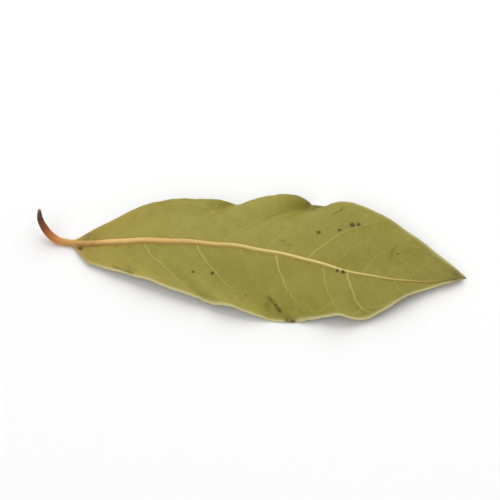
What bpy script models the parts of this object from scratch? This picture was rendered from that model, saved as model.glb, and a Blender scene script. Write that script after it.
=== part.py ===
"""A dried bay leaf, lying on its glossy face with the raised midrib upwards.

The leaf grew as one piece and is one solid: a thin waved blade, the midrib and side veins
that stand out of it, and the stalk that the midrib runs out into. The blade is a grid whose
cross lines leave the midrib and bend towards the tip as the side veins do, so each vein
follows a line of the grid.

Lengths are millimetres until the mesh is made. X runs from the stalk to the tip, Y from the
front margin to the back one, and Z up from the table. "Along" is a place on the midrib or on
a margin, from 0 where the blade begins to 1 at the tip.
"""

import bpy
import numpy as np

MM = 0.001

# Driving dimensions.
BLADE_LENGTH = 74.0
BLADE_THICKNESS = 0.6
STALK_THICKNESS = 1.3
VEIN_HEIGHT = 0.24
VEIN_HALF_WIDTH = 0.38
MARGIN_BEAD = 0.06
TABLE_CUT = 0.1  # how much of the stalk's round underside the table's plane takes off
STALK_RUN_IN = 0.06  # the stretch of the blade in which the round stalk flattens out

# The midrib seen from above, and how high the blade's lower face is under it.
MIDRIB_SIDEWAYS = [(0, 0), (0.2, 0.45), (0.4, 0), (0.6, -1.1), (0.7, -1.9), (0.9, -2.1), (1, 0)]
MIDRIB_HEIGHT = [(0, -0.1), (0.1, 1.1), (0.2, 2.6), (0.3, 3.6), (0.4, 4.1), (0.5, 3.9),
                 (0.6, 3.2), (0.7, 2.1), (0.8, 1.5), (0.9, 1.1), (1, 0.6)]
MIDRIB_RADIUS = [(0, 0.6), (0.1, 0.55), (0.3, 0.5), (0.55, 0.34), (0.8, 0.24), (1, 0.16)]

# The two margins seen from above: how far each reaches from the straight line base to tip.
FRONT_REACH = [(0, 0.75), (0.03, 2.5), (0.07, 4.1), (0.14, 5.7), (0.21, 7.3), (0.3, 9.8), (0.41, 12.0),
               (0.54, 13.2), (0.67, 12.2), (0.75, 11.8), (0.8, 9.8), (0.86, 6.1), (0.93, 2.8), (1, 0.3)]
BACK_REACH = [(0, 0.75), (0.04, 2.8), (0.1, 5.6), (0.17, 8.7), (0.24, 10.3), (0.34, 11.2), (0.42, 12.0),
              (0.5, 13.5), (0.58, 14.2), (0.68, 13.9), (0.75, 12.5), (0.83, 9.5), (0.91, 5.4), (1, 0.3)]

# Heights of the margins above the table, and the waves in them: place, half-width, lift.
FRONT_HEIGHT = [(0, -0.1), (0.1, 1.0), (0.25, 1.7), (0.4, 1.5), (0.55, 1.0), (0.7, 1.4), (0.85, 1.7),
                (1, 0.6)]
BACK_HEIGHT = [(0, -0.1), (0.1, 1.5), (0.25, 3.1), (0.4, 2.8), (0.55, 2.6), (0.7, 2.3), (0.85, 1.9),
               (1, 0.6)]
FRONT_WAVES = [(0.215, 0.025, 0.3), (0.37, 0.025, -0.4), (0.43, 0.03, 0.6), (0.565, 0.05, -1.9),
               (0.695, 0.028, 0.8), (0.765, 0.03, -0.8), (0.85, 0.03, 0.3)]
BACK_WAVES = [(0.41, 0.033, -1.5), (0.52, 0.045, 0.7), (0.617, 0.038, -3.7), (0.72, 0.04, 0.5),
              (0.85, 0.03, -0.3)]

# Where on its margin each cross line ends, for where it leaves the midrib.
FRONT_SWEEP = [(0, 0), (0.055, 0.11), (0.185, 0.345), (0.325, 0.525), (0.44, 0.59), (0.525, 0.63),
               (0.645, 0.7), (0.705, 0.78), (0.76, 0.835), (0.86, 0.92), (1, 1)]
BACK_SWEEP = [(0, 0), (0.08, 0.17), (0.25, 0.42), (0.395, 0.59), (0.495, 0.69), (0.605, 0.82),
              (0.7, 0.885), (0.83, 0.945), (1, 1)]

# How straight each half's cross lines run towards the tip: 0 leaves the midrib square to it,
# and a half would be a straight slant.
FRONT_LEAN = 0.12
BACK_LEAN = 0.25

# Powers of the place across: the blade's own bend, and how the margin's waves die away inwards.
BEND = 1.35
WAVE_REACH = 2.6

# Where the side veins leave the midrib.
FRONT_VEINS = [0.055, 0.115, 0.188, 0.323, 0.435, 0.523, 0.643, 0.703, 0.82]
BACK_VEINS = [0.085, 0.15, 0.248, 0.387, 0.497, 0.603, 0.74, 0.86]

# The stalk from the blade's base outwards: sideways, up, and radius, by the distance along it.
STALK_BACKWARDS = [(0, 0), (0.25, 0.2), (0.5, 1.15), (0.75, 2.5), (1, 3.6)]
STALK_RISE = [(0, 0), (0.25, 0.15), (0.5, 1.2), (0.75, 2.7), (1, 4.9)]
STALK_OUTWARDS = [(0, 0), (0.25, 2.45), (0.5, 4.5), (0.75, 5.95), (1, 6.3)]
STALK_SWELLING = [(0, 1.0), (0.35, 1.1), (0.6, 1.06), (0.85, 0.8), (1, 0.5)]

# How finely the solid is cut into faces.
WIDEST_GAP = 0.02
STALK_STATIONS = 17
RIDGE_ROWS = np.sin(np.radians([-90, -50, -24, 0, 24, 50, 90]))
BLADE_ROWS = np.array([0.1, 0.24, 0.4, 0.57, 0.73, 0.86, 0.95, 1.0])


def smooth_line(points, along):
    """A smooth line through hand-set (place, value) points, as cubic pieces."""
    places, values = np.array(points, float).T
    slopes = np.gradient(values, places)
    i = np.clip(np.searchsorted(places, along, side="right") - 1, 0, len(places) - 2)
    span = places[i + 1] - places[i]
    f = (along - places[i]) / span
    return (values[i] * (1 + 2 * f) * (1 - f) ** 2 + span * slopes[i] * f * (1 - f) ** 2
            + values[i + 1] * f**2 * (3 - 2 * f) - span * slopes[i + 1] * f**2 * (1 - f))


def humps(waves, along):
    """The sum of bell-shaped waves, each given by its place, half-width and lift."""
    return sum(lift * np.exp(-(((along - place) / half) ** 2)) for place, half, lift in waves)


def ease(x):
    """0 up to x = 0, 1 from x = 1, and a smooth step between."""
    x = np.clip(x, 0, 1)
    return x * x * (3 - 2 * x)


def stations():
    """Places along the midrib that get a cross line: three for each vein, and the gaps filled."""
    foot = VEIN_HALF_WIDTH / BLADE_LENGTH
    veins = np.array(FRONT_VEINS + BACK_VEINS)
    kept = np.unique(np.concatenate([[0, 0.012, 0.985, 1], veins - foot, veins, veins + foot]))
    parts = np.ceil(np.diff(kept) / WIDEST_GAP).astype(int)
    filled = [np.linspace(a, b, n, endpoint=False) for a, b, n in zip(kept[:-1], kept[1:], parts)]
    return np.concatenate(filled + [[1.0]])


def half_blade(along, side, lean, reach, height, waves, sweep):
    """One half of the blade's lower face, from the midrib's foot out to the margin.

    A cross line leaves the midrib steeply and bends towards the tip. Each of its points
    keeps its share of the way from the midrib's foot to the margin at the place where it
    lies, so the rows never cross. The margin's waves die away towards the midrib.
    """
    end = smooth_line(sweep, along)[:, None]
    start = along[:, None]
    where = start + (end - start) * (2 * lean * BLADE_ROWS * (1 - BLADE_ROWS) + BLADE_ROWS**2)
    foot = smooth_line(MIDRIB_SIDEWAYS, where) + side * smooth_line(MIDRIB_RADIUS, where)
    y = foot + (side * smooth_line(reach, where) - foot) * BLADE_ROWS
    rib = smooth_line(MIDRIB_HEIGHT, start)
    rise = smooth_line(height, end) - rib
    z = rib + rise * BLADE_ROWS**BEND + humps(waves, end) * BLADE_ROWS**WAVE_REACH
    return np.stack([BLADE_LENGTH * where, y, z], -1)


def rib_strip(along):
    """The strip of the lower face under the midrib, between the feet of the ridge."""
    across = RIDGE_ROWS * smooth_line(MIDRIB_RADIUS, along)[:, None]
    x = BLADE_LENGTH * along[:, None] + 0 * across
    y = smooth_line(MIDRIB_SIDEWAYS, along)[:, None] + across
    z = smooth_line(MIDRIB_HEIGHT, along)[:, None] + 0 * across
    return np.stack([x, y, z], -1)


def flatness(grid):
    """How level a grid of points is: 1 where it lies flat, and less the steeper it slopes."""
    normal = np.cross(np.gradient(grid, axis=0), np.gradient(grid, axis=1))
    return normal[..., 2] / np.linalg.norm(normal, axis=-1)


def relief(along):
    """How far midrib, veins and margin rise above the blade's own thickness."""
    radius = smooth_line(MIDRIB_RADIUS, along)[:, None]
    ridge = radius * np.sqrt(1 - RIDGE_ROWS**2)
    fade = (1 - BLADE_ROWS**2) * ease(along / STALK_RUN_IN / 2)[:, None]
    bead = MARGIN_BEAD * (BLADE_ROWS == 1)
    halves = []
    for veins in (FRONT_VEINS, BACK_VEINS):
        nearest = np.abs(along[:, None] - veins).min(1)[:, None] * BLADE_LENGTH
        crest = VEIN_HEIGHT * np.clip(1 - nearest / VEIN_HALF_WIDTH, 0, 1)
        halves.append(crest * fade + bead)
    return np.concatenate([halves[0][:, ::-1], ridge, halves[1]], 1)


def blade_faces(along):
    """The lower and the upper face of the blade, as grids of stations by rows.

    The upper face is straight above the lower one, and higher over a slope, so that the
    blade is as thick there as where it is level.
    """
    front = half_blade(along, -1, FRONT_LEAN, FRONT_REACH, FRONT_HEIGHT, FRONT_WAVES, FRONT_SWEEP)
    back = half_blade(along, 1, BACK_LEAN, BACK_REACH, BACK_HEIGHT, BACK_WAVES, BACK_SWEEP)
    lower = np.concatenate([front[:, ::-1], rib_strip(along), back], 1)
    lower[..., 2] = np.maximum(lower[..., 2], 0)
    upper = lower.copy()
    upper[..., 2] += BLADE_THICKNESS / flatness(lower) + relief(along)
    return lower, upper


def ring(rows, under):
    """Angles round a stalk section for each row, over the top or under it, front to back."""
    turn = np.pi * (np.arange(rows) + 0.5) / rows
    return np.pi + turn if under else np.pi - turn


def tube(centre, sideways, up, radius, rows, under):
    """Half the surface of a round stalk, over the top or under it."""
    angle = ring(rows, under)
    reach = radius[:, None]
    return (centre[:, None] + (reach * np.cos(angle))[..., None] * sideways[:, None]
            + (reach * np.sin(angle))[..., None] * up[:, None])


def stalk_frames():
    """Centres, sideways and upward directions along the stalk, from its end to the blade."""
    out = np.linspace(0, 1, STALK_STATIONS)
    centre = np.stack([-smooth_line(STALK_OUTWARDS, out), smooth_line(STALK_BACKWARDS, out),
                       smooth_line(STALK_RISE, out) + STALK_THICKNESS / 2 - TABLE_CUT], -1)
    heading = np.gradient(centre, axis=0)
    heading /= np.linalg.norm(heading, axis=1, keepdims=True)
    heading[0] = [-1, 0, 0]
    sideways = np.tile([0.0, 1.0, 0.0], (STALK_STATIONS, 1))
    for i in range(1, STALK_STATIONS):
        turned = sideways[i - 1] - heading[i] * (heading[i] @ sideways[i - 1])
        sideways[i] = turned / np.linalg.norm(turned)
    up = np.cross(sideways, heading)
    radius = STALK_THICKNESS / 2 * smooth_line(STALK_SWELLING, out)
    return centre[::-1], sideways[::-1], up[::-1], radius[::-1]


def leaf_faces():
    """The lower and upper face of the whole leaf, from the stalk's end to the tip."""
    along = stations()
    lower, upper = blade_faces(along)
    rows = lower.shape[1]
    centre, sideways, up, radius = stalk_frames()
    faces = []
    for face, under in ((lower, True), (upper, False)):
        stalk = tube(centre[:-1], sideways[:-1], up[:-1], radius[:-1], rows, under)
        rib = lower[:, rows // 2] + [0, 0, STALK_THICKNESS / 2 - TABLE_CUT]
        axes = np.eye(3)[None].repeat(len(along), 0)
        round_part = tube(rib, axes[:, 1], axes[:, 2], np.full(len(along), STALK_THICKNESS / 2), rows, under)
        share = ease(along / STALK_RUN_IN)[:, None, None]
        faces.append(np.concatenate([stalk, round_part * (1 - share) + face * share]))
    faces[0][..., 2] = np.maximum(faces[0][..., 2], 0)
    return faces


def closed_mesh(lower, upper):
    """Points and triangles of the solid between two grids, split alike on both faces."""
    count, rows, _ = lower.shape
    loops = np.concatenate([upper, lower[:, ::-1]], 1)
    size = 2 * rows
    ends = [loops[0].mean(0), loops[-1].mean(0)]
    points = np.concatenate([loops.reshape(-1, 3), ends])
    faces = []
    for i in range(count - 1):
        for j in range(size):
            a, b = i * size + j, i * size + (j + 1) % size
            c, d = b + size, a + size
            if j < rows:
                faces += [(a, d, c), (a, c, b)]
            else:
                faces += [(a, d, b), (d, c, b)]
    first, last = len(points) - 2, len(points) - 1
    for j in range(size):
        k = (j + 1) % size
        faces.append((first, j, k))
        faces.append((last, (count - 1) * size + k, (count - 1) * size + j))
    return points, faces


def to_bottom_centre(points):
    """The points moved so that the origin is at the middle of the box's bottom."""
    low, high = points.min(0), points.max(0)
    return points - [(low[0] + high[0]) / 2, (low[1] + high[1]) / 2, low[2]]


def principled(name, colour, roughness):
    """A plain material with a colour and a roughness."""
    made = bpy.data.materials.new(name)
    made.use_nodes = True
    shader = made.node_tree.nodes["Principled BSDF"]
    shader.inputs["Base Color"].default_value = (*colour, 1)
    shader.inputs["Roughness"].default_value = roughness
    shader.inputs["Metallic"].default_value = 0
    return made


def build_leaf():
    """The bay leaf as one named object, standing on its three low spots."""
    lower, upper = leaf_faces()
    points, faces = closed_mesh(lower, upper)
    mesh = bpy.data.meshes.new("bay_leaf")
    mesh.from_pydata((to_bottom_centre(points) * MM).tolist(), [], faces)
    mesh.materials.append(principled("dried_blade", (0.33, 0.30, 0.08), 0.6))
    mesh.shade_smooth()
    leaf = bpy.data.objects.new("bay_leaf", mesh)
    bpy.context.scene.collection.objects.link(leaf)
    return leaf


for old in list(bpy.data.objects):
    bpy.data.objects.remove(old, do_unlink=True)
build_leaf()
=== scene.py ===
# %% [markdown]
# # A dried bay leaf
#
# A bay leaf is a leathery blade with a thick pale rim, a midrib that runs out into a short
# stalk, and side veins that leave the midrib at a steep angle and bend towards the tip. As it
# dries, the stalk hooks upwards, the blade cockles, and its margins rise and fall in waves.
# This one lies with its underside up: there the midrib and the veins stand out, and the
# surface is matt. The face on the table is smoother, darker and glossier.
#
# The measured solid of the leaf is loaded first. It fixes where the leaf is and how big it
# is. Everything below only gives it a finer surface and its colours.

# %% Load the measured leaf
import math

import bpy
import numpy as np
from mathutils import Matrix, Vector


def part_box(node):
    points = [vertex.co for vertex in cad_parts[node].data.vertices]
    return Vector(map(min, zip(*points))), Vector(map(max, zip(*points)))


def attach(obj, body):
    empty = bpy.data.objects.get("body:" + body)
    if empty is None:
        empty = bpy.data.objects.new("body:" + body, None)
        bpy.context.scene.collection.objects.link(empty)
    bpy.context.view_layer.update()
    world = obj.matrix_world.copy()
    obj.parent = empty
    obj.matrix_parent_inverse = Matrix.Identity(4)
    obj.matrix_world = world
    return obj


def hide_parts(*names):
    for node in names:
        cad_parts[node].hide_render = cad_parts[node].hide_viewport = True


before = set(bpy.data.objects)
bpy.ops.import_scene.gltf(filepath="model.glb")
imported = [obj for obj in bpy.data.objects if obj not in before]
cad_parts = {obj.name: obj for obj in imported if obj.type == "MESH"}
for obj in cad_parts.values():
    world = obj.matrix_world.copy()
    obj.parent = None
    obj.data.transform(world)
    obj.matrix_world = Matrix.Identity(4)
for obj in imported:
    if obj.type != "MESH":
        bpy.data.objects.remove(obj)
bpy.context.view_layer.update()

MM = 0.001
solid_low, solid_high = [np.array(corner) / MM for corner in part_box("bay_leaf")]
print("the leaf is", np.round(solid_high - solid_low, 1), "mm long, wide and high")

# %% [markdown]
# ## The lines that the leaf is drawn from
#
# A leaf could be sculpted, or cut out of a sheet with an outline. Neither gives control over
# the one thing that makes a leaf look grown: everything on it follows the midrib and the
# margins. So those three lines are drawn first, seen from above and from the side, each as a
# few points with a smooth line through them. The waves of the margins are added to their
# heights as bell-shaped humps, and a few nicks and a fine ripple roughen their course. A place
# along a line runs from 0 where the blade begins to 1 at the tip, and lengths are millimetres.

# %% The driving lines
BLADE_LENGTH = 74.0

MIDRIB_SIDEWAYS = [(0, 0), (0.2, 0.45), (0.4, 0), (0.6, -1.1), (0.7, -1.9), (0.9, -2.1), (1, 0)]
MIDRIB_HEIGHT = [(0, -0.1), (0.1, 1.1), (0.2, 2.6), (0.3, 3.6), (0.4, 4.1), (0.5, 3.9),
                 (0.6, 3.2), (0.7, 2.1), (0.8, 1.5), (0.9, 1.1), (1, 0.6)]
MIDRIB_RADIUS = [(0, 0.6), (0.1, 0.55), (0.3, 0.5), (0.55, 0.36), (0.8, 0.23), (0.92, 0.15),
                 (0.985, 0.09), (1, 0.01)]

FRONT_REACH = [(0, 0.9), (0.03, 3.45), (0.07, 4.9), (0.14, 6.4), (0.21, 7.9), (0.3, 9.9),
               (0.41, 12.0), (0.54, 13.2), (0.67, 12.2), (0.75, 11.8), (0.8, 9.8), (0.86, 6.1),
               (0.93, 2.8), (0.985, 0.75), (1, 0.03)]
BACK_REACH = [(0, 0.8), (0.04, 2.95), (0.1, 5.6), (0.17, 8.7), (0.24, 10.3), (0.34, 11.2),
              (0.42, 12.0), (0.5, 13.5), (0.58, 14.2), (0.68, 13.9), (0.75, 12.5), (0.83, 9.5),
              (0.91, 5.3), (0.985, 1.0), (1, 0.03)]

FRONT_HEIGHT = [(0, -0.1), (0.1, 1.0), (0.25, 1.7), (0.4, 1.5), (0.55, 1.0), (0.7, 1.4),
                (0.85, 1.7), (1, 0.6)]
BACK_HEIGHT = [(0, -0.1), (0.1, 1.5), (0.25, 3.1), (0.4, 2.8), (0.55, 2.6), (0.7, 2.3), (0.85, 1.9),
               (1, 0.6)]
FRONT_WAVES = [(0.215, 0.025, 0.3), (0.37, 0.025, -0.4), (0.43, 0.03, 0.6), (0.565, 0.05, -1.9),
               (0.695, 0.028, 0.8), (0.765, 0.03, -0.8), (0.85, 0.03, 0.3)]
BACK_WAVES = [(0.41, 0.033, -1.5), (0.52, 0.045, 0.7), (0.617, 0.038, -3.7), (0.72, 0.04, 0.5),
              (0.85, 0.03, -0.3)]

FRONT_NICKS = [(0.085, 0.006, -0.18), (0.345, 0.007, -0.3), (0.385, 0.005, 0.12),
               (0.62, 0.005, -0.14), (0.9, 0.006, -0.12)]
BACK_NICKS = [(0.15, 0.006, -0.14), (0.5, 0.005, -0.12), (0.64, 0.008, -0.25), (0.88, 0.006, -0.15)]
MARGIN_RIPPLE = 0.05
RIPPLE_SIZE = 2.4


def smooth_line(points, along):
    """A smooth line through (place, value) points.

    Between two points it is the cubic that meets both, with the slope at each point taken
    from its neighbours on either side.
    """
    places, values = np.array(points, float).T
    slopes = np.gradient(values, places)
    i = np.clip(np.searchsorted(places, along, side="right") - 1, 0, len(places) - 2)
    span = places[i + 1] - places[i]
    f = (along - places[i]) / span
    return (values[i] * (1 + 2 * f) * (1 - f) ** 2 + span * slopes[i] * f * (1 - f) ** 2
            + values[i + 1] * f**2 * (3 - 2 * f) - span * slopes[i + 1] * f**2 * (1 - f))


def bell(x):
    """A bell-shaped hump: e to the power of minus x squared, 1 in the middle."""
    return np.exp(-(x**2))


def humps(waves, along):
    """The sum of humps, each given by its place, half-width and lift."""
    return sum(lift * bell((along - place) / half) for place, half, lift in waves)


def ease(x):
    """0 up to x = 0, 1 from x = 1, and a smooth step between: three x squared less two x cubed."""
    x = np.clip(x, 0, 1)
    return x * x * (3 - 2 * x)


heights = smooth_line(MIDRIB_HEIGHT, np.linspace(0, 1, 200))
print("the midrib arches to", round(float(heights.max()), 1), "mm above the table")

# %% [markdown]
# ## Where the veins run
#
# A side vein leaves the midrib steeply, then bends towards the tip, and near the margin it
# hands over to the next one in an arch. Drawing each vein as a curve and laying it on the
# blade would need care to keep it on the waved surface. Here the surface's own grid does it:
# its cross lines are bent as the veins are, so that a vein is simply a line of the grid, and
# a place on the blade is two numbers. One says where its cross line leaves the midrib, and
# the other how far out it is, from 0 at the midrib to 1 at the margin.

# %% The sweep of the cross lines, and the veins
FRONT_SWEEP = [(0, 0), (0.055, 0.11), (0.185, 0.345), (0.325, 0.525), (0.44, 0.59), (0.525, 0.63),
               (0.645, 0.7), (0.705, 0.78), (0.76, 0.835), (0.86, 0.92), (1, 1)]
BACK_SWEEP = [(0, 0), (0.08, 0.17), (0.25, 0.42), (0.395, 0.59), (0.495, 0.69), (0.605, 0.82),
              (0.7, 0.885), (0.83, 0.945), (1, 1)]

# Each sweep pairs the place where a cross line leaves the midrib with the place where it meets
# the margin. Each vein is a place on the midrib and a strength from 0 to 1.
FRONT_VEINS = [(0.055, 0.35), (0.115, 0.3), (0.188, 0.9), (0.25, 0.25), (0.323, 1.0), (0.435, 0.4),
               (0.523, 1.0), (0.59, 0.25), (0.643, 0.65), (0.703, 1.0), (0.76, 0.3), (0.82, 0.4),
               (0.88, 0.3)]
BACK_VEINS = [(0.035, 0.3), (0.085, 0.4), (0.15, 0.3), (0.2, 0.25), (0.248, 0.6), (0.32, 0.25),
              (0.387, 0.55), (0.445, 0.2), (0.497, 0.5), (0.555, 0.25), (0.603, 0.8), (0.67, 0.35),
              (0.74, 0.45), (0.8, 0.35), (0.86, 0.3)]
HALVES = {
    "front": {"side": -1, "reach": FRONT_REACH, "nicks": FRONT_NICKS, "height": FRONT_HEIGHT,
              "waves": FRONT_WAVES, "sweep": FRONT_SWEEP, "lean": 0.12, "veins": FRONT_VEINS,
              "seed": 3},
    "back": {"side": 1, "reach": BACK_REACH, "nicks": BACK_NICKS, "height": BACK_HEIGHT,
             "waves": BACK_WAVES, "sweep": BACK_SWEEP, "lean": 0.25, "veins": BACK_VEINS,
             "seed": 8},
}
print(len(FRONT_VEINS), "side veins in front of the midrib and", len(BACK_VEINS), "behind it")

# %% [markdown]
# ## How finely the surface is cut
#
# The grid has to be fine enough for a vein a third of a millimetre wide, and finer still at
# the margin, where the blade's edge is rounded within two tenths of a millimetre. Rows are
# therefore even over the blade and crowd together at the rim and over the round midrib.

# %% Stations along the leaf and rows across it
BLADE_STATIONS = 400
STALK_STATIONS = 40
INNER_ROWS = 38
RIM_ROWS = np.array([0.974, 0.982, 0.988, 0.9925, 0.996, 0.9985, 1.0])
RIB_ROWS = 13

along = np.linspace(0, 1, BLADE_STATIONS)
across = np.concatenate([np.linspace(0.012, 0.965, INNER_ROWS), RIM_ROWS])
rib_place = np.sin(np.linspace(-0.5, 0.5, RIB_ROWS) * math.pi)
row_count = 2 * len(across) + RIB_ROWS
rib_rows = slice(len(across), len(across) + RIB_ROWS)
print(BLADE_STATIONS, "stations, with", row_count, "rows on each face")

# %% [markdown]
# ## The blade's lower face
#
# Each half of the blade is a sheet between the midrib and its margin. Seen from above, a
# cross line drifts towards the tip on its way out, and every row keeps its share of the
# blade's width, so that rows never cross, however tight the waves are. The height goes from
# the midrib's to the margin's, and the margin's waves die away inwards, as on a real leaf,
# where the stiff midrib holds the middle of the blade still.
#
# A drying blade also cockles: between the veins it shrinks unevenly and gets shallow dents.
# They are made by adding a few long ripples in different directions, and fade out where the
# leaf rests on the table.

# %% The lower face as a grid of points
BEND = 1.35
WAVE_REACH = 2.6
ROUGH_REACH = 8
COCKLE_HEIGHT = 0.16
COCKLE_SIZE = 9.0
RESTS_BELOW = 0.1
FREE_RISE = 1.2


def ripples(x, y, size, seed, count=9):
    """Shallow dents: the mean of a few sine waves that run in different directions.

    Each wave has its own length, between two thirds of the size and one and a half times it.
    """
    draw = np.random.default_rng(seed)
    turn = draw.uniform(0, 2 * math.pi, count)
    push = draw.uniform(0, 2 * math.pi, count)
    length = size * draw.uniform(0.67, 1.5, count)
    total = sum(np.sin((x * math.cos(a) + y * math.sin(a)) * 2 * math.pi / n + p)
                for a, p, n in zip(turn, push, length))
    return total / math.sqrt(count)


def cross_lines(half):
    """Where each point of a half lies along the leaf, as a place from 0 to 1.

    A cross line starts at its own station and ends where the sweep says. In between it moves
    on slowly at first and faster towards the margin. The share of the way that it has made at
    t is twice the lean times t times (1 - t), plus t squared.
    """
    start = along[:, None]
    end = smooth_line(half["sweep"], start)
    return start + (end - start) * (2 * half["lean"] * across * (1 - across) + across**2)


def foot_and_margin(half, where):
    """Sideways places of the midrib's foot and of the smooth margin, and the margin's roughness.

    The roughness is the nicks plus the fine ripple, kept inwards, and it ends at the tip.
    """
    side = half["side"]
    foot = smooth_line(MIDRIB_SIDEWAYS, where) + side * smooth_line(MIDRIB_RADIUS, where)
    small = ripples(BLADE_LENGTH * where, 0 * where, RIPPLE_SIZE, half["seed"]) - 1.5
    rough = humps(half["nicks"], where) + MARGIN_RIPPLE * small
    return foot, side * smooth_line(half["reach"], where), side * rough * ease(4 * (1 - where))


def half_blade(half):
    """One half of the lower face: stations by rows by x, y and z, from the midrib outwards.

    Sideways, a point has its share of the way from foot to margin at the place where it lies.
    Its height is the midrib's, eased into the margin's by a power of the share, plus the
    margin's waves times a higher power of it.
    """
    where = cross_lines(half)
    foot, margin, rough = foot_and_margin(half, where)
    y = foot + (margin - foot) * across + rough * across**ROUGH_REACH
    end = smooth_line(half["sweep"], along)[:, None]
    rib = smooth_line(MIDRIB_HEIGHT, along)[:, None]
    rise = smooth_line(half["height"], end) - rib
    z = rib + rise * across**BEND + humps(half["waves"], end) * across**WAVE_REACH
    return np.stack([BLADE_LENGTH * where, y, z], -1)


def rib_strip():
    """The strip of the lower face under the midrib, as wide as the midrib is there."""
    half_width = smooth_line(MIDRIB_RADIUS, along)[:, None]
    y = smooth_line(MIDRIB_SIDEWAYS, along)[:, None] + rib_place * half_width
    x = BLADE_LENGTH * along[:, None] + 0 * y
    z = smooth_line(MIDRIB_HEIGHT, along)[:, None] + 0 * y
    return np.stack([x, y, z], -1)


def both_halves(front, middle, back):
    """Three grids side by side: the front one turned round, the midrib's, and the back one."""
    return np.concatenate([front[:, ::-1], middle, back], 1)


def flatness(grid):
    """1 where a grid of points is level, and less the steeper it is.

    It is the upward part of the unit normal, the cross product of the grid's two directions.
    """
    normal = np.cross(np.gradient(grid, axis=0), np.gradient(grid, axis=1))
    return normal[..., 2] / np.linalg.norm(normal, axis=-1)


plain = both_halves(half_blade(HALVES["front"]), rib_strip(), half_blade(HALVES["back"]))
dents = COCKLE_HEIGHT * ripples(plain[..., 0], plain[..., 1], COCKLE_SIZE, seed=5)
free = ease((plain[..., 2] - RESTS_BELOW) / FREE_RISE)
flat_face = plain.copy()
flat_face[..., 2] = np.maximum(plain[..., 2] + dents * free, 0)
print("the blade's lower face is between", round(float(flat_face[..., 2].min()), 2),
      "and", round(float(flat_face[..., 2].max()), 2), "mm high")

# %% [markdown]
# ## Veins, rim and edge as relief
#
# On the underside a vein is a low round ridge. It is widest where it leaves the midrib,
# narrows outwards, wavers a little, and ends in an arch that joins it to the next vein. The
# blade between two veins bulges very slightly. The margin of a bay leaf is a hard pale bead.
# All of these are heights added straight up. Along the surface's normal they would collide
# where the margin's waves are tightest. Modelling each vein as its own tube would leave seams.
#
# The same numbers serve twice: as relief here, and as masks that tell the material later
# where the vein and midrib colours go.

# %% Masks for veins and rim
VEIN_HEIGHT = 0.17
VEIN_WIDTH = 0.2
SLOW_WAVER = 0.24
SLOW_BENDS = (9, 14)
QUICK_WAVER = 0.06
QUICK_BENDS = (22, 31)
STRONG_VEIN = 0.38
ARCH_HEIGHT = 0.06
ARCH_WIDTH = 0.3
ARCH_PLACE = 0.88
ARCH_DIP = 0.16
RIM_WIDTH = 0.3
RIM_HEIGHT = 0.07
SMALL_STEP = 0.004


def vein_masks(half):
    """(veins, arches): 1 on the crest of a line and 0 beside it, for every station and row.

    A vein is a bell across its cross line, wavering by two sine waves as it goes out, and a
    strong one reaches further. An arch follows the row whose place dips at each strong vein
    and rises midway to the next one, by a parabola.
    """
    t = across[None, :]
    s = along[:, None]
    draw = np.random.default_rng(half["seed"])
    veins = np.zeros((len(along), len(across)))
    for place, strength in half["veins"]:
        waver = SLOW_WAVER * np.sin(t * draw.uniform(*SLOW_BENDS) + draw.uniform(0, 6)) * t
        waver = waver + QUICK_WAVER * np.sin(t * draw.uniform(*QUICK_BENDS) + draw.uniform(0, 6))
        off = (s - place) * BLADE_LENGTH - waver
        width = VEIN_WIDTH * (1.15 - 0.6 * t) * (0.6 + 0.4 * strength)
        fade = 1 - ease((t - 0.45 - 0.3 * strength) / 0.3)
        veins = np.maximum(veins, strength * bell(off / width) * fade)
    strong = np.array([place for place, strength in half["veins"] if strength > STRONG_VEIN])
    stops = np.concatenate([[0], strong, [1]])
    i = np.clip(np.searchsorted(stops, along, side="right") - 1, 0, len(stops) - 2)
    phase = (along - stops[i]) / (stops[i + 1] - stops[i])
    dip = (ARCH_PLACE - ARCH_DIP * (2 * phase - 1) ** 2)[:, None]
    length = np.linalg.norm(np.diff(half_blade(half), axis=1), axis=-1).sum(1)[:, None]
    arches = bell((t - dip) * length / ARCH_WIDTH) * ease(s / 0.1) * ease((1 - s) / 0.1)
    return veins, arches


def margin_distance(half):
    """How far each point is from the margin in millimetres.

    It is the distance straight sideways, made shorter where the margin runs at an angle:
    divided by the square root of one plus its slope squared.
    """
    where = cross_lines(half)
    foot, margin, rough = foot_and_margin(half, where)
    ahead = smooth_line(half["reach"], np.minimum(where + SMALL_STEP, 1))
    behind = smooth_line(half["reach"], np.maximum(where - SMALL_STEP, 0))
    slope = (ahead - behind) / (2 * SMALL_STEP * BLADE_LENGTH)
    return np.abs(margin - foot) * (1 - across) / np.sqrt(1 + slope**2)


nothing = np.zeros((len(along), RIB_ROWS))
masks = {name: vein_masks(half) for name, half in HALVES.items()}
vein = both_halves(masks["front"][0], nothing, masks["back"][0])
arch = both_halves(masks["front"][1], nothing, masks["back"][1])
FAR_FROM_MARGIN = 9
front_distance, back_distance = [margin_distance(HALVES[name]) for name in ("front", "back")]
to_margin = both_halves(front_distance, nothing + FAR_FROM_MARGIN, back_distance)
rim = bell(to_margin / RIM_WIDTH)
rib = both_halves(0 * masks["front"][0], nothing + 1, 0 * masks["back"][0])
print("veins cover", round(100 * float((vein > 0.3).mean()), 1), "percent of the grid")

# %% [markdown]
# ## Two faces with a round edge
#
# The blade is a third of a millimetre thick. Solidify could give it that, but a leaf's edge
# is not a cut wall. So the two faces are built separately and run together at the margin:
# within half a thickness of it, each face closes in as a quarter circle does. Where the sheet
# is steep, a step straight up is divided by its flatness, so that it stays as thick as it is
# where it lies level. On the face below, the midrib runs in a shallow groove.

# %% The upper and the lower face
THICKNESS = 0.34
SWELL_HEIGHT = 0.05
SWELL_SIZE = 2.6
GROOVE_DEPTH = 0.3
GLOSSY_VEIN_DEPTH = 0.05


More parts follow.
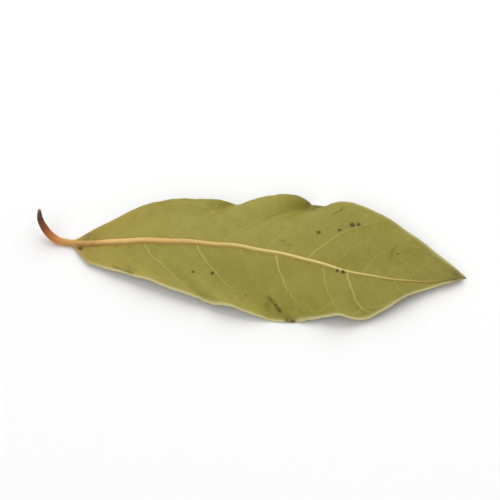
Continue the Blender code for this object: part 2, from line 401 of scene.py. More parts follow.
def quarter_round(distance, radius):
    """How far a face has closed in near an edge: 0 inside, and the radius at the edge itself."""
    q = np.clip(1 - distance / radius, 0, 1)
    return radius * (1 - np.sqrt(1 - q**2))


level = flatness(flat_face)
radius = smooth_line(MIDRIB_RADIUS, along)[:, None]
ridge = np.zeros_like(vein)
ridge[:, rib_rows] = radius * np.sqrt(1 - rib_place**2)
begins = ease(along / 0.1)[:, None]
closing = quarter_round(to_margin, THICKNESS / 2)
swell = SWELL_HEIGHT * ripples(flat_face[..., 0], flat_face[..., 1], SWELL_SIZE, seed=11)
swell = swell * (1 - rib) * ease(to_margin / 2)

relief = begins * (VEIN_HEIGHT * vein + ARCH_HEIGHT * arch + swell) + RIM_HEIGHT * rim
underside = flat_face.copy()
underside[..., 2] += (THICKNESS - closing) / level + ridge + relief

groove = np.zeros_like(vein)
groove[:, rib_rows] = GROOVE_DEPTH * radius * (1 - rib_place**2)
glossy_face = flat_face.copy()
glossy_face[..., 2] += begins * (groove + GLOSSY_VEIN_DEPTH * vein) + closing / level
print("the leaf is", round(float((THICKNESS + ridge).max()), 2), "mm thick over the midrib's foot")

# %% [markdown]
# ## The stalk
#
# The stalk is the midrib without its blade: a round rod a little over a millimetre thick
# that swells, hooks up and back as it dries, and thins to a dark broken end. It is a profile
# carried along a path. To keep the leaf one closed skin, the profile has the same number of
# points as the blade's two faces.

# %% The stalk's path and profile
STALK_THICKNESS = 1.3
TABLE_CUT = 0.1
STALK_RUN_IN = 0.03
STALK_BACKWARDS = [(0, 0), (0.25, 0.2), (0.5, 1.15), (0.75, 2.5), (1, 3.6)]
STALK_RISE = [(0, 0), (0.25, 0.15), (0.5, 1.2), (0.75, 2.7), (1, 4.9)]
STALK_OUTWARDS = [(0, 0), (0.25, 2.45), (0.5, 4.48), (0.75, 5.9), (1, 6.23)]
STALK_SWELLING = [(0, 1.0), (0.35, 1.06), (0.6, 1.0), (0.85, 0.7), (1, 0.34)]
FIBRE_DEPTH = 0.035
RIB_ANGLE = math.radians(28)
CROWDING = 1.7

# Each row's angle on the round profile, from the front over the top to the back. The rows of
# the midrib take the top third, and the blade's rows share the sides.
side_rows = np.linspace(0, 1, len(across) + 1)[1:]
side_angle = (math.pi / 2 - RIB_ANGLE) * (1 - side_rows)
rib_angle = math.pi / 2 - RIB_ANGLE * rib_place
top_angle = np.concatenate([(math.pi - side_angle)[::-1], rib_angle, side_angle])


def tube(centre, sideways, up, radius, angle, out):
    """A round rod: at each angle, the centre plus the radius times the two directions.

    Fibres are shallow waves round the rod that drift slowly as they run along it.
    """
    fibres = np.sin(9 * angle[None] + 1.5 * np.sin(5 * out)[:, None])
    fibres = fibres + 0.6 * np.sin(17 * angle[None] + 2 + 4 * out[:, None])
    reach = radius[:, None] + FIBRE_DEPTH * fibres * ease(out / 0.3)[:, None]
    return (centre[:, None] + (reach * np.cos(angle))[..., None] * sideways[:, None]
            + (reach * np.sin(angle))[..., None] * up[:, None])


# The rings stand closer together towards the broken end, where the stalk bends most.
out = 1 - (1 - np.linspace(0, 1, STALK_STATIONS)) ** CROWDING
centre = np.stack([-smooth_line(STALK_OUTWARDS, out), smooth_line(STALK_BACKWARDS, out),
                   smooth_line(STALK_RISE, out) + STALK_THICKNESS / 2 - TABLE_CUT], -1)
heading = np.gradient(centre, axis=0)
heading = heading / np.linalg.norm(heading, axis=1, keepdims=True)
sideways = np.cross(heading, [0.0, 0.0, 1.0]) + [0, 1e-9, 0]
sideways = sideways / np.linalg.norm(sideways, axis=1, keepdims=True)
up = np.cross(sideways, heading)
stalk_length = float(np.linalg.norm(np.diff(centre, axis=0), axis=1).sum())
print("the stalk is", round(stalk_length, 1), "mm long")

# %% [markdown]
# ## From round to flat
#
# Two separate meshes, a rod and a blade, would show a crease where they meet. A joined grid
# has none: over the first two millimetres of the midrib every point slides from its place on
# the round profile to its place on the flat face. A longer run would pinch the blade's base.
# The rod's broken end is drawn in like half a ball.

# %% The stalk's two faces, run into the blade's
BREAK_BEGINS = 0.97
BREAK_REACH = 0.032

stalk_radius = STALK_THICKNESS / 2 * smooth_line(STALK_SWELLING, out)
broken = np.clip((out - BREAK_BEGINS) / BREAK_REACH, 0, 1)
stalk_radius = stalk_radius * np.sqrt(1 - broken**2)
blade_axis = flat_face[:, len(across) + RIB_ROWS // 2] + [0, 0, STALK_THICKNESS / 2 - TABLE_CUT]
across_axis = np.tile([0.0, 1.0, 0.0], (len(along), 1))
upward_axis = np.tile([0.0, 0.0, 1.0], (len(along), 1))
full_radius = np.full(len(along), STALK_THICKNESS / 2)
share = ease(along / STALK_RUN_IN)[:, None, None]


def run_together(face, angle):
    """One face of the whole leaf, from the stalk's end to the tip.

    First come the stalk's rings, then the blade's stations, where the round rod gives way
    to the flat face in an eased share.
    """
    rod = tube(centre[:0:-1], sideways[:0:-1], up[:0:-1], stalk_radius[:0:-1], angle, out[:0:-1])
    begun = tube(blade_axis, across_axis, upward_axis, full_radius, angle, 0 * along)
    return np.concatenate([rod, begun * (1 - share) + face * share])


top_side = run_together(underside, top_angle)
table_side = run_together(glossy_face, 2 * math.pi - top_angle)
table_side[..., 2] = np.maximum(table_side[..., 2], 0)
print("the skin has", top_side.shape[0], "stations from the stalk's end to the tip")

# %% [markdown]
# ## One closed skin
#
# The two faces share their outermost rows, so the loops round the leaf close without a seam,
# and a fan of triangles closes each end. The finished skin is moved into the measured box:
# its middle goes to the box's middle, and its lowest point onto the table.

# %% Sew the faces into a mesh
loops = np.concatenate([top_side, table_side[:, -2:0:-1]], 1)
stations, ring_size = loops.shape[:2]
ends = np.stack([loops[0].mean(0), loops[-1].mean(0)])
points = np.concatenate([loops.reshape(-1, 3), ends])
own_low, own_high = points.min(0), points.max(0)
shift = (solid_low + solid_high - own_low - own_high) / 2
shift[2] = solid_low[2] - own_low[2]
points = points + shift

i, j = np.meshgrid(np.arange(stations - 1), np.arange(ring_size), indexing="ij")
here = i * ring_size + j
beside = i * ring_size + (j + 1) % ring_size
quads = np.stack([here, here + ring_size, beside + ring_size, beside], -1).reshape(-1, 4)
ring = np.arange(ring_size)
next_in_ring = (ring + 1) % ring_size
last = (stations - 1) * ring_size
start_fan = np.stack([np.full(ring_size, len(points) - 2), ring, next_in_ring], -1)
end_fan = np.stack([np.full(ring_size, len(points) - 1), last + next_in_ring, last + ring], -1)

mesh = bpy.data.meshes.new("bay_leaf_skin")
mesh.from_pydata((points * MM).tolist(), [], quads.tolist() + start_fan.tolist() + end_fan.tolist())
mesh.shade_smooth()
leaf = bpy.data.objects.new("bay_leaf_skin", mesh)
bpy.context.scene.collection.objects.link(leaf)
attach(leaf, "root")
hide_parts("bay_leaf")
triangles = 2 * len(quads) + 2 * ring_size
print("the skin has", triangles, "triangles, and was moved by", np.round(shift, 2), "mm")

# %% [markdown]
# ## What the material needs to know
#
# A material can't tell a vein from the blade beside it. It could be given painted images,
# but those would have to be drawn somewhere. The masks that shaped the relief already know,
# so they are stored on the mesh's points as named attributes, and the material reads them by
# name. A leaf also carries the marks of its life: bruises, scratches and dry corners turn
# brown. They are given as short lines on the leaf, each with a width and a strength, and
# stored the same way.

# %% Stains
ARCH_COLOUR = 0.35
BASE_WOOD = 0.035
FLANK_SHADE_WIDTH = 0.28
RIM_COLOUR_WIDTH = 0.42
STAIN_GAIN = 1.6

# Each stain or scratch: where it starts and ends, in mm from the blade's base and from its
# straight axis, its half-width in mm, and its strength.
STAINS = [(45.5, 13.4, 45.5, 13.4, 1.7, 0.6), (42.0, -12.7, 43.2, -12.9, 0.45, 0.75),
          (3.0, 0.6, 3.0, 0.6, 2.6, 0.3), (-0.6, -0.8, 2.0, -1.1, 0.4, 0.55),
          (72.5, 0.0, 72.5, 0.0, 2.2, 0.5), (57.5, 12.6, 57.5, 12.6, 1.2, 0.35),
          (63.0, -7.0, 63.0, -7.0, 1.3, 0.3),
          (12.0, -5.6, 12.0, -5.6, 1.1, 0.3), (38.1, -9.2, 40.6, -11.4, 0.3, 0.7),
          (38.3, -10.6, 38.3, -10.6, 0.8, 0.25), (39.3, 2.6, 40.2, 1.7, 0.22, 0.6),
          (39.6, 1.7, 41.2, 1.5, 0.2, 0.5), (48.2, 9.9, 50.2, 11.8, 0.25, 0.5),
          (44.2, 11.0, 44.9, 11.8, 0.3, 0.5), (9.0, -5.2, 12.5, -6.4, 0.25, 0.6),
          (59.6, 2.0, 60.4, 5.0, 0.3, 0.3)]


def stained(places, x, y):
    """The strongest of the stains at each point: a bell round its line, times its strength.

    The nearest place on the line is the point's shadow on it, kept between its two ends.
    """
    strongest = 0 * x
    for x0, y0, x1, y1, width, strength in places:
        span = max((x1 - x0) ** 2 + (y1 - y0) ** 2, 1e-9)
        share = np.clip(((x - x0) * (x1 - x0) + (y - y0) * (y1 - y0)) / span, 0, 1)
        off = np.hypot(x - x0 - share * (x1 - x0), y - y0 - share * (y1 - y0))
        strongest = np.maximum(strongest, strength * bell(off / width))
    return strongest


def over_the_skin(blade_mask, on_stalk=0.0):
    """A mask given on the blade's grid, laid round the whole skin in the order of its points."""
    stalk_part = np.full((STALK_STATIONS - 1, row_count), on_stalk)
    one_face = np.concatenate([stalk_part, blade_mask])
    both_faces = np.concatenate([one_face, one_face[:, -2:0:-1]], 1)
    return np.append(both_faces.ravel(), [on_stalk, blade_mask[-1, 0]])


def store(name, values):
    """Writes one number for each point of the skin as an attribute."""
    layer = mesh.attributes.new(name, "FLOAT", "POINT")
    layer.data.foreach_set("value", np.ascontiguousarray(values, dtype=np.float32))


store("vein", over_the_skin(np.maximum(vein, ARCH_COLOUR * arch)))
store("rib", over_the_skin(np.maximum(rib, 1 - ease(along / BASE_WOOD)[:, None]), on_stalk=1.0))

# Painted shade: a strip of blade on both sides of the midrib is marked for darkening.
from_rib = np.abs(plain[..., 1] - smooth_line(MIDRIB_SIDEWAYS, along)[:, None]) - radius
flank_shade = bell(np.maximum(from_rib, 0) / FLANK_SHADE_WIDTH)
flank_shade[:, rib_rows] = 1
store("flank_shade", over_the_skin(flank_shade, on_stalk=1.0))

# The rim's colour is a little wider than its bead. Along the first half behind it is fainter:
# painted shade on the back margin.
rim_colour_with_shade = bell(to_margin / RIM_COLOUR_WIDTH) * ease(along / 0.06)[:, None]
rim_shade_behind = 0.2 + 0.4 * ease((along - 0.35) / 0.1) + 0.4 * ease((along - 0.6) / 0.2)
rim_colour_with_shade[:, rib_rows.stop:] *= rim_shade_behind[:, None]
store("rim", over_the_skin(rim_colour_with_shade))

own = points - shift
store("stain", STAIN_GAIN * stained(STAINS, own[:, 0], own[:, 1]))

place_on_stalk = np.concatenate([out[:0:-1], 0 * along])
store("stalk", np.append(np.repeat(place_on_stalk, ring_size), [1, 0]))
print("stored", len(mesh.attributes), "layers on", len(points), "points")

# %% [markdown]
# ## A map that runs along the leaf
#
# Fibres in the stalk and wrinkles in the blade run along the leaf's own directions, so the
# skin gets a map of its own. One axis goes from the stalk's end to the tip, in centimetres.
# The other goes from margin to margin, from -1 to 1, and the midrib has the middle twentieth.

# %% The map
MM_IN_CM = 10
STALK_ON_MAP = 9.9
RIB_ON_MAP = 0.05

length_along = np.concatenate([-STALK_ON_MAP * out[:0:-1], BLADE_LENGTH * along]) / MM_IN_CM
blade_share = np.linspace(RIB_ON_MAP, 1, len(across))
row_across = np.concatenate([-blade_share[::-1], RIB_ON_MAP * rib_place, blade_share])
row_across = np.concatenate([row_across, row_across[-2:0:-1]])
u = np.append(np.repeat(length_along, ring_size), [length_along[0], length_along[-1]])
v = np.append(np.tile(row_across, stations), [0, 0])
corners = np.empty(len(mesh.loops), dtype=np.int64)
mesh.loops.foreach_get("vertex_index", corners)
layer = mesh.uv_layers.new(name="along_leaf")
layer.data.foreach_set("uv", np.stack([u[corners], v[corners]], -1).astype(np.float32).ravel())
print("the map runs from", round(float(u.min()), 2), "to", round(float(u.max()), 2), "cm")

# %% [markdown]
# ## Helpers for building materials
#
# Blender's materials are graphs of nodes. A few small helpers keep the recipes below short:
# the first places a node and fills its sockets, and the others make the steps that come up
# again and again, such as a sum, a noise, or a colour laid over another where a mask is white.

# %% Node helpers
def place(tree, kind, options=None, sockets=None):
    """Adds a node, sets its options by name, and sets or links its input sockets."""
    made = tree.nodes.new(kind)
    for name, value in (options or {}).items():
        setattr(made, name, value)
    for name, value in (sockets or {}).items():
        if isinstance(value, bpy.types.NodeSocket):
            tree.links.new(value, made.inputs[name])
        else:
            made.inputs[name].default_value = value
    return made


def maths(tree, operation, a, b=0.0, c=0.0, clamp=False):
    """The result of one arithmetic node. MULTIPLY_ADD is a times b plus c."""
    options = {"operation": operation, "use_clamp": clamp}
    return place(tree, "ShaderNodeMath", options, {0: a, 1: b, 2: c}).outputs[0]


def vector_maths(tree, operation, sockets):
    """One node that works on places: all three coordinates at once."""
    return place(tree, "ShaderNodeVectorMath", {"operation": operation}, sockets).outputs


def mix(tree, share, under, over, mode="MIX"):
    """The blend of two colours: the first at a share of 0, the second at 1."""
    options = {"data_type": "RGBA", "blend_type": mode}
    return place(tree, "ShaderNodeMix", options, {0: share, 6: under, 7: over}).outputs[2]


def lay(tree, under, where, strength, over):
    """A colour laid over another where a mask is white, by a strength from 0 to 1."""
    share = maths(tree, "MULTIPLY", where, strength)
    return mix(tree, share, under, over)


def noise(tree, spot, scale, detail):
    """A noise pattern read at a place."""
    sockets = {"Vector": spot, "Scale": scale, "Detail": detail}
    return place(tree, "ShaderNodeTexNoise", None, sockets)


def skin_place(tree):
    """The place on the leaf, in metres."""
    return place(tree, "ShaderNodeTexCoord").outputs["Object"]


def map_place(tree):
    """The place on the leaf's own map."""
    return place(tree, "ShaderNodeUVMap", {"uv_map": "along_leaf"}).outputs[0]


def mask(tree, name):
    """One of the skin's stored masks."""
    return place(tree, "ShaderNodeAttribute", {"attribute_name": name}).outputs["Fac"]


def srgb(red, green, blue):
    """A colour given as on a screen, 0 to 255, as the linear light that materials work in."""
    c = np.array([red, green, blue]) / 255
    light = np.where(c <= 0.04045, c / 12.92, ((c + 0.055) / 1.055) ** 2.4)
    return (*light.tolist(), 1.0)


def new_group(name, inputs, outputs):
    """A node group with named inputs and outputs, and its two ends."""
    tree = bpy.data.node_groups.new(name, "ShaderNodeTree")
    for title, kind, value in inputs:
        tree.interface.new_socket(title, in_out="INPUT", socket_type=kind).default_value = value
    for title, kind in outputs:
        tree.interface.new_socket(title, in_out="OUTPUT", socket_type=kind)
    return tree, place(tree, "NodeGroupInput").outputs, place(tree, "NodeGroupOutput").inputs


def use(tree, group, sockets):
    """A group placed in a material, with its own values, as its outputs."""
    return place(tree, "ShaderNodeGroup", {"node_tree": group}, sockets).outputs


FLOAT = "NodeSocketFloat"
COLOUR = "NodeSocketColor"
OLIVE = srgb(156, 148, 74)
print("the blade's olive is", np.round(OLIVE[:3], 3), "in linear light")

# %% [markdown]
# ## The net of fine veins
#
# Between the side veins a bay leaf has a net: cells a millimetre or so across, each with
# smaller cells in it. A Voronoi pattern is the natural choice, because cells that grow
# towards each other meet in just such edges. Its coordinates are first pushed about by a
# noise, which bends the straight edges. It is needed on both faces, at two sizes, so it is a
# group with the size as an input.

# %% Group: leaf net
BEND_OF_NET = (0.7, 0.7, 0.7)

leaf_net, given, result = new_group("leaf_net", [("Cell mm", FLOAT, 1.0), ("Line", FLOAT, 0.1)],
                                    [("Lines", FLOAT)])
per_metre = maths(leaf_net, "DIVIDE", 1000.0, given["Cell mm"])
scaled = vector_maths(leaf_net, "SCALE", {0: skin_place(leaf_net), "Scale": per_metre})[0]
push = noise(leaf_net, scaled, 0.9, 2.0).outputs["Color"]
warped = vector_maths(leaf_net, "MULTIPLY_ADD", {0: push, 1: BEND_OF_NET, 2: scaled})[0]
edge = place(leaf_net, "ShaderNodeTexVoronoi", {"feature": "DISTANCE_TO_EDGE"},
             {"Vector": warped, "Scale": 1.0}).outputs["Distance"]
line = maths(leaf_net, "SUBTRACT", 1.0, maths(leaf_net, "DIVIDE", edge, given["Line"], clamp=True))
leaf_net.links.new(maths(leaf_net, "MULTIPLY", line, line), result["Lines"])
print("group leaf_net has", len(leaf_net.nodes), "nodes")

# %% [markdown]
# ## Mottling
#
# No dried leaf has one colour. It varies over centimetres, where it dried faster or slower,
# over millimetres, from cell to cell, and in a fine grain. The group puts out the three as
# numbers round a half, and each material decides what to do with them.

# %% Group: mottling
MOTTLES = [("Clouds", 70.0, 2.0), ("Blotches", 420.0, 4.0), ("Grain", 3200.0, 3.0)]

mottling, given, result = new_group("mottling", [("Seed", FLOAT, 0.0)],
                                    [(title, FLOAT) for title, scale, detail in MOTTLES])
spot = skin_place(mottling)
for title, scale, detail in MOTTLES:
    pattern = noise(mottling, spot, scale, detail)
    pattern.noise_dimensions = "4D"
    mottling.links.new(given["Seed"], pattern.inputs["W"])
    contrast = maths(mottling, "MULTIPLY_ADD", pattern.outputs["Fac"], 2.2, -0.6, clamp=True)
    mottling.links.new(contrast, result[title])
print("group mottling has", len(mottling.nodes), "nodes")

# %% [markdown]
# ## Midrib and stalk
#
# The midrib is straw-coloured wood. It is peach near the base, palest in the middle and
# almost as green as the blade at the tip. Along the stalk the colour runs from peach through
# rust to a burnt brown, and the broken end is grey. Both runs are colour ramps: one reads
# how far along the stalk a point is, the other how far along the leaf, from the map. Streaks
# along the fibres break them up. The midrib's round sides and the strip of blade beside it
# are darkened to tan: painted shade, the shadow along both sides of the raised midrib.

# %% Group: woody parts
RIB_SIDE_SHADE = srgb(172, 128, 62)
DARK_FIBRE = srgb(150, 100, 48)
GREY_SHADE = srgb(120, 90, 44)
BASE_TAN = srgb(168, 142, 64)
FLANK_SHADE = srgb(158, 122, 54)
RIB_RUN = [(0.0, srgb(218, 164, 94)), (0.12, srgb(235, 198, 124)), (0.22, srgb(224, 187, 112)),
           (0.35, srgb(214, 184, 110)), (0.48, srgb(218, 202, 122)), (0.62, srgb(226, 208, 130)),
           (0.75, srgb(206, 195, 114)), (0.87, srgb(174, 160, 82)), (1.0, srgb(142, 118, 56))]
STALK_RUN = [(0.0, srgb(216, 162, 92)), (0.22, srgb(208, 146, 78)), (0.42, srgb(184, 107, 50)),
             (0.6, srgb(140, 72, 36)), (0.8, srgb(92, 60, 38)), (0.93, srgb(96, 80, 60)),
             (1.0, srgb(158, 150, 136))]


def ramp(tree, position, stops):
    """A colour ramp with the given (place, colour) stops."""
    made = place(tree, "ShaderNodeValToRGB", None, {"Fac": position})
    band = made.color_ramp
    while len(band.elements) < len(stops):
        band.elements.new(0.5)
    for element, (where, colour) in zip(band.elements, stops):
        element.position = where
        element.color = colour
    return made.outputs["Color"]


woody, given, result = new_group("woody_parts", [("Blade", COLOUR, OLIVE), ("Shade", FLOAT, 1.0)],
                                 [("Color", COLOUR), ("Streaks", FLOAT)])
on_map = map_place(woody)
map_axes = place(woody, "ShaderNodeSeparateXYZ", None, {0: on_map}).outputs
way = maths(woody, "DIVIDE", map_axes[0], BLADE_LENGTH / MM_IN_CM, clamp=True)
stretched = vector_maths(woody, "MULTIPLY", {0: on_map, 1: (2.0, 26.0, 1.0)})[0]
streaks = noise(woody, stretched, 3.0, 4.0).outputs["Fac"]

stalk_place = mask(woody, "stalk")
on_stalk = maths(woody, "GREATER_THAN", stalk_place, 0.0)
wood = mix(woody, on_stalk, ramp(woody, way, RIB_RUN), ramp(woody, stalk_place, STALK_RUN))
from_crest = maths(woody, "ABSOLUTE", map_axes[1])
# Painted shade: the midrib's round sides are darkened to tan, from just past the blade's base.
shaded_rib_side = maths(woody, "MULTIPLY_ADD", from_crest, 45.0, -1.25, clamp=True)
past_base = maths(woody, "MULTIPLY", way, 18.0, clamp=True)
wood = lay(woody, wood, maths(woody, "MULTIPLY", shaded_rib_side, past_base), 0.6, RIB_SIDE_SHADE)
dark_streak = maths(woody, "MULTIPLY_ADD", streaks, 2.4, -1.1, clamp=True)
wood = lay(woody, wood, dark_streak, 0.45, DARK_FIBRE)
wood = mix(woody, given["Shade"], wood, GREY_SHADE, mode="MULTIPLY")

near_base = maths(woody, "MULTIPLY_ADD", way, -5.5, 1.0, clamp=True)
beside_rib = lay(woody, given["Blade"], near_base, 0.6, BASE_TAN)
# Painted shade: the flank strip is darkened to tan, strongly at the base and fading out towards the
# tip.
flank_shade_strength = maths(woody, "MULTIPLY_ADD", way, -0.95, 0.9)
beside_rib = lay(woody, beside_rib, mask(woody, "flank_shade"), flank_shade_strength, FLANK_SHADE)
woody.links.new(mix(woody, mask(woody, "rib"), beside_rib, wood), result["Color"])
woody.links.new(streaks, result["Streaks"])
print("group woody_parts has", len(woody.nodes), "nodes")

# %% [markdown]
# ## Stains and freckles
#
# Stains and specks are laid over everything else. A stain's edge is broken up by a noise, or
# it would look like a drop of paint. Fine freckles come at random from the cells of a
# Voronoi pattern: a dot in one cell out of five, and none on the midrib.

# %% Group: marks, first the stains and freckles
STAIN_BROWN = srgb(94, 83, 22)
FRECKLE_BROWN = srgb(96, 76, 28)

leaf_marks, given, result = new_group("leaf_marks", [("Color", COLOUR, OLIVE)], [("Color", COLOUR)])
spot = skin_place(leaf_marks)
ragged = noise(leaf_marks, spot, 900.0, 5.0).outputs["Fac"]
torn = maths(leaf_marks, "MULTIPLY_ADD", ragged, 2.4, -0.5)
torn = maths(leaf_marks, "MULTIPLY", mask(leaf_marks, "stain"), torn, clamp=True)
colour = mix(leaf_marks, torn, given["Color"], STAIN_BROWN)

cell = place(leaf_marks, "ShaderNodeTexVoronoi", None, {"Vector": spot, "Scale": 330.0}).outputs
chance = place(leaf_marks, "ShaderNodeSeparateColor", None, {0: cell["Color"]}).outputs[0]
freckle = maths(leaf_marks, "MULTIPLY", maths(leaf_marks, "GREATER_THAN", chance, 0.8),
                maths(leaf_marks, "LESS_THAN", cell["Distance"], 0.05))
off_rib = maths(leaf_marks, "SUBTRACT", 1.0, mask(leaf_marks, "rib"))
freckle = maths(leaf_marks, "MULTIPLY", freckle, off_rib)
colour = lay(leaf_marks, colour, freckle, 0.5, FRECKLE_BROWN)
print("one stain mask of", len(STAINS), "marks, and freckles about 3 mm apart")

# %% [markdown]
# ## Specks
#
# Scale insects leave small dark specks with a brown halo. They are too sharp for the mesh's
# points to carry, so the material finds them itself. It measures how far each place is from
# every speck, counted in that speck's own radii, and keeps the smallest number. A fine noise
# bites into the outline.

# %% Group: marks, then the specks
SPECK_HALO = srgb(120, 98, 36)
SPECK_CORE = srgb(76, 56, 4)
FAR_AWAY = 9.0

# Each speck: mm from the blade's base, mm from its straight axis, radius in mm.
SPECKS = [(52.1, 8.25, 0.4), (53.2, 8.55, 0.33), (49.8, 6.75, 0.24), (46.0, 5.5, 0.3),
          (44.6, 11.4, 0.2), (49.7, 11.4, 0.13), (27.4, -5.6, 0.24), (23.8, -5.6, 0.2),
          (51.3, -2.25, 0.25), (50.2, -2.2, 0.2), (2.0, -1.1, 0.32), (8.7, -0.75, 0.12),
          (11.4, -0.8, 0.1), (39.6, -10.5, 0.13), (61.0, 3.2, 0.13), (41.9, -8.2, 0.1),
          (34.0, -9.1, 0.1), (57.4, -6.0, 0.09), (64.4, -1.6, 0.09)]

from_above = vector_maths(leaf_marks, "MULTIPLY", {0: spot, 1: (1, 1, 0)})[0]
radii = FAR_AWAY
for x, y, size in SPECKS:
    at = ((x + shift[0]) * MM, (y + shift[1]) * MM, 0.0)
    gap = vector_maths(leaf_marks, "DISTANCE", {0: from_above, 1: at})["Value"]
    radii = maths(leaf_marks, "MINIMUM", radii, maths(leaf_marks, "DIVIDE", gap, size * MM))
bitten = noise(leaf_marks, spot, 2600.0, 3.0).outputs["Fac"]
radii = maths(leaf_marks, "MULTIPLY_ADD", bitten, 1.6, maths(leaf_marks, "SUBTRACT", radii, 0.8))
halo = maths(leaf_marks, "MULTIPLY_ADD", radii, -0.8, 2.0, clamp=True)
colour = lay(leaf_marks, colour, halo, 0.45, SPECK_HALO)
inside = maths(leaf_marks, "MULTIPLY_ADD", radii, -2.2, 2.9, clamp=True)
colour = lay(leaf_marks, colour, inside, 0.9, SPECK_CORE)
leaf_marks.links.new(colour, result["Color"])
print("group leaf_marks has", len(leaf_marks.nodes), "nodes")

# %% [markdown]
# ## The underside
#
# This is the face that shows. It is matt and waxy, olive with grey-green clouds and a tan
# cast near the base, and its veins and rim are paler than the blade. The colours are laid
# one over the other in the order in which they lie on the leaf. Roughness is high, and a
# little lower on the woody parts. The net and the grain make a shallow bump.

# %% Material: underside
PALE_LINE = srgb(166, 156, 84)
VEIN_STRAW = srgb(192, 180, 102)
RIM_STRAW = srgb(210, 201, 150)


def leaf_material(name):
    """A new material with a Principled shader that reflects little straight on, as wax does."""
    made = bpy.data.materials.new(name)
    made.use_nodes = True
    shader = made.node_tree.nodes["Principled BSDF"]
    shader.inputs["Specular IOR Level"].default_value = 0.25
    return made, made.node_tree, shader


def bumped(tree, strength, depth, height):
    """The shading normal tilted by a height pattern whose full height is a depth in mm."""
    sockets = {"Strength": strength, "Distance": depth * MM, "Height": height}
    return place(tree, "ShaderNodeBump", None, sockets).outputs["Normal"]


matt, tree, shader = leaf_material("leaf_underside")
tone = use(tree, mottling, {"Seed": 2.0})
net = use(tree, leaf_net, {"Cell mm": 1.5, "Line": 0.16})["Lines"]
fine_net = use(tree, leaf_net, {"Cell mm": 0.5, "Line": 0.22})["Lines"]
cm = place(tree, "ShaderNodeSeparateXYZ", None, {0: map_place(tree)}).outputs[0]
# Painted shade: the blade grows darker from its base towards the tip.
tip_shade_share = maths(tree, "DIVIDE", cm, BLADE_LENGTH / MM_IN_CM, clamp=True)
blade = mix(tree, tip_shade_share, srgb(171, 161, 68), srgb(125, 118, 29))
blade = lay(tree, blade, tone["Clouds"], 0.4, srgb(144, 142, 68))
blade = lay(tree, blade, tone["Blotches"], 0.35, srgb(132, 121, 44))
blade = lay(tree, blade, tone["Grain"], 0.14, srgb(112, 98, 36))
blade = lay(tree, blade, net, 0.17, PALE_LINE)
blade = lay(tree, blade, fine_net, 0.08, PALE_LINE)
blade = lay(tree, blade, maths(tree, "POWER", mask(tree, "vein"), 1.5), 0.8, VEIN_STRAW)
parts = use(tree, woody, {"Blade": blade, "Shade": 0.0})
rimmed = lay(tree, parts["Color"], mask(tree, "rim"), 0.85, RIM_STRAW)
tree.links.new(use(tree, leaf_marks, {"Color": rimmed})["Color"], shader.inputs["Base Color"])

on_rib = mask(tree, "rib")
rough = maths(tree, "MULTIPLY_ADD", tone["Blotches"], 0.14, 0.5)
tree.links.new(maths(tree, "MULTIPLY_ADD", on_rib, -0.1, rough), shader.inputs["Roughness"])
height = maths(tree, "MULTIPLY_ADD", fine_net, 0.25, maths(tree, "MULTIPLY", net, 0.5))
height = maths(tree, "MULTIPLY_ADD", tone["Grain"], 0.35, height)
height = maths(tree, "MULTIPLY_ADD", parts["Streaks"], on_rib, height)
tree.links.new(bumped(tree, 0.5, 0.06, height), shader.inputs["Normal"])
mesh.materials.append(matt)
print("material leaf_underside has", len(tree.nodes), "nodes")

# %% [markdown]
# ## The glossy face
#
# The face on the table is the leaf's upper side: a deeper green-brown, smooth and glossy,
# with the net sunk into it and the midrib in a groove. Seen from below it has to be as
# finished as the other, so it uses the same groups with its own values.

# %% Material: glossy face
glossy, tree, shader = leaf_material("leaf_glossy_face")
shader.inputs["Coat Weight"].default_value = 0.15
tone = use(tree, mottling, {"Seed": 7.0})
net = use(tree, leaf_net, {"Cell mm": 1.3, "Line": 0.14})["Lines"]
blade = mix(tree, tone["Clouds"], srgb(128, 124, 52), srgb(108, 108, 46))
blade = lay(tree, blade, tone["Blotches"], 0.45, srgb(132, 112, 48))
blade = lay(tree, blade, net, 0.25, srgb(146, 140, 70))
blade = lay(tree, blade, mask(tree, "vein"), 0.6, srgb(160, 150, 78))
parts = use(tree, woody, {"Blade": blade, "Shade": 0.25})
rimmed = lay(tree, parts["Color"], mask(tree, "rim"), 0.7, srgb(196, 184, 116))
tree.links.new(use(tree, leaf_marks, {"Color": rimmed})["Color"], shader.inputs["Base Color"])

rough = maths(tree, "MULTIPLY_ADD", tone["Blotches"], 0.16, 0.28)
tree.links.new(rough, shader.inputs["Roughness"])
height = maths(tree, "SUBTRACT", maths(tree, "MULTIPLY", tone["Grain"], 0.2), net)
tree.links.new(bumped(tree, 0.4, 0.05, height), shader.inputs["Normal"])
mesh.materials.append(glossy)
print("material leaf_glossy_face has", len(tree.nodes), "nodes")

# %% [markdown]
# ## Which face gets which material
#
# The loops round the leaf start on the underside, so the second half of each is the face on
# the table. Painting the two from one mask would blur the edge, so each polygon gets a slot.

# %% Give each face of the mesh its material
on_table_side = np.arange(ring_size) >= row_count - 1
on_blade = np.arange(stations - 1) >= STALK_STATIONS
below = (on_blade[:, None] & on_table_side[None, :]).ravel()
slots = np.append(below, np.zeros(2 * ring_size, dtype=bool)).astype(np.int32)
mesh.polygons.foreach_set("material_index", slots)
mesh.update()
print("the glossy face takes", int(slots.sum()), "of", len(mesh.polygons), "faces")

# %% [markdown]
# ## Table
#
# The leaf lies on a plain pale table. One large square is enough, since the camera sees
# nothing of its edge.

# %% Table
TABLE_HALF = 1.5
TABLE_WHITE = srgb(249, 249, 249)

table_mesh = bpy.data.meshes.new("table")
square = np.array([[-1, -1, 0], [1, -1, 0], [1, 1, 0], [-1, 1, 0]]) * [TABLE_HALF, TABLE_HALF, 1]
table_mesh.from_pydata(square.tolist(), [], [[0, 1, 2, 3]])
paper = bpy.data.materials.new("pale_table")
paper.use_nodes = True
paper.node_tree.nodes["Principled BSDF"].inputs["Base Color"].default_value = TABLE_WHITE
paper.node_tree.nodes["Principled BSDF"].inputs["Roughness"].default_value = 0.7
table_mesh.materials.append(paper)
table = bpy.data.objects.new("table", table_mesh)
bpy.context.scene.collection.objects.link(table)
print("the table is", 2 * TABLE_HALF, "m wide")

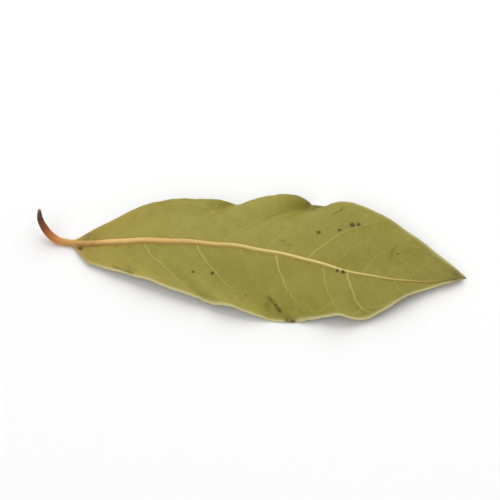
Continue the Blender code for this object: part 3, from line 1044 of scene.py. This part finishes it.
# %% [markdown]
# ## Light
#
# A broad lamp stands behind the leaf at half height, so that the front margin throws a wide
# soft shadow forwards and the veins show. A weaker one from the front left and a pale sky
# fill the rest. A small lamp or a sun would draw hard shadows, which a leaf this thin can't
# carry.

# %% Light
def direction(azimuth, elevation):
    """The unit vector towards a place, given in degrees round the leaf from the front and up."""
    a = math.radians(azimuth)
    e = math.radians(elevation)
    return Vector((math.sin(a) * math.cos(e), -math.cos(a) * math.cos(e), math.sin(e)))


def aim(made, centre, toward, distance):
    """Puts a lamp or camera at a distance from the centre and turns it to look back there."""
    made.location = centre + toward * distance
    made.rotation_euler = toward.to_track_quat("Z", "Y").to_euler()
    bpy.context.scene.collection.objects.link(made)


def lamp(name, power, size, azimuth, elevation, distance):
    """A square area lamp, aimed at the middle of the leaf."""
    light = bpy.data.lights.new(name, "AREA")
    light.energy = power
    light.size = size
    aim(bpy.data.objects.new(name, light), Vector(), direction(azimuth, elevation), distance)


lamp("broad_lamp", power=2.75, size=0.8, azimuth=165, elevation=48, distance=0.6)
lamp("side_lamp", power=0.9, size=0.5, azimuth=-40, elevation=42, distance=0.7)
sky = bpy.data.worlds.new("pale_sky")
sky.use_nodes = True
sky.node_tree.nodes["Background"].inputs["Color"].default_value = (1, 1, 1, 1)
sky.node_tree.nodes["Background"].inputs["Strength"].default_value = 0.58
bpy.context.scene.world = sky
bpy.context.scene.view_settings.view_transform = "Standard"
print("lit by", len(bpy.data.lights), "lamps and a sky")

# %% [markdown]
# ## Camera
#
# The camera looks down steeply, a little from the right, and from far off through a long
# lens, which keeps the leaf's proportions true. A short lens close by would swell the margin
# in front.

# %% Camera
CAMERA_AZIMUTH = 6.4
CAMERA_ELEVATION = 54.0
LENS = 150.0
SENSOR = 36.0
FILL = 0.87

length = (solid_high - solid_low)[0] * MM
middle = Vector(((solid_low + solid_high) / 2 * MM).tolist())
distance = length / FILL * LENS / SENSOR
lens = bpy.data.cameras.new("camera")
lens.lens = LENS
lens.sensor_width = SENSOR
camera = bpy.data.objects.new("camera", lens)
aim(camera, middle, direction(CAMERA_AZIMUTH, CAMERA_ELEVATION), distance)
bpy.context.scene.camera = camera
print("the camera is", round(distance * 1000), "mm away")
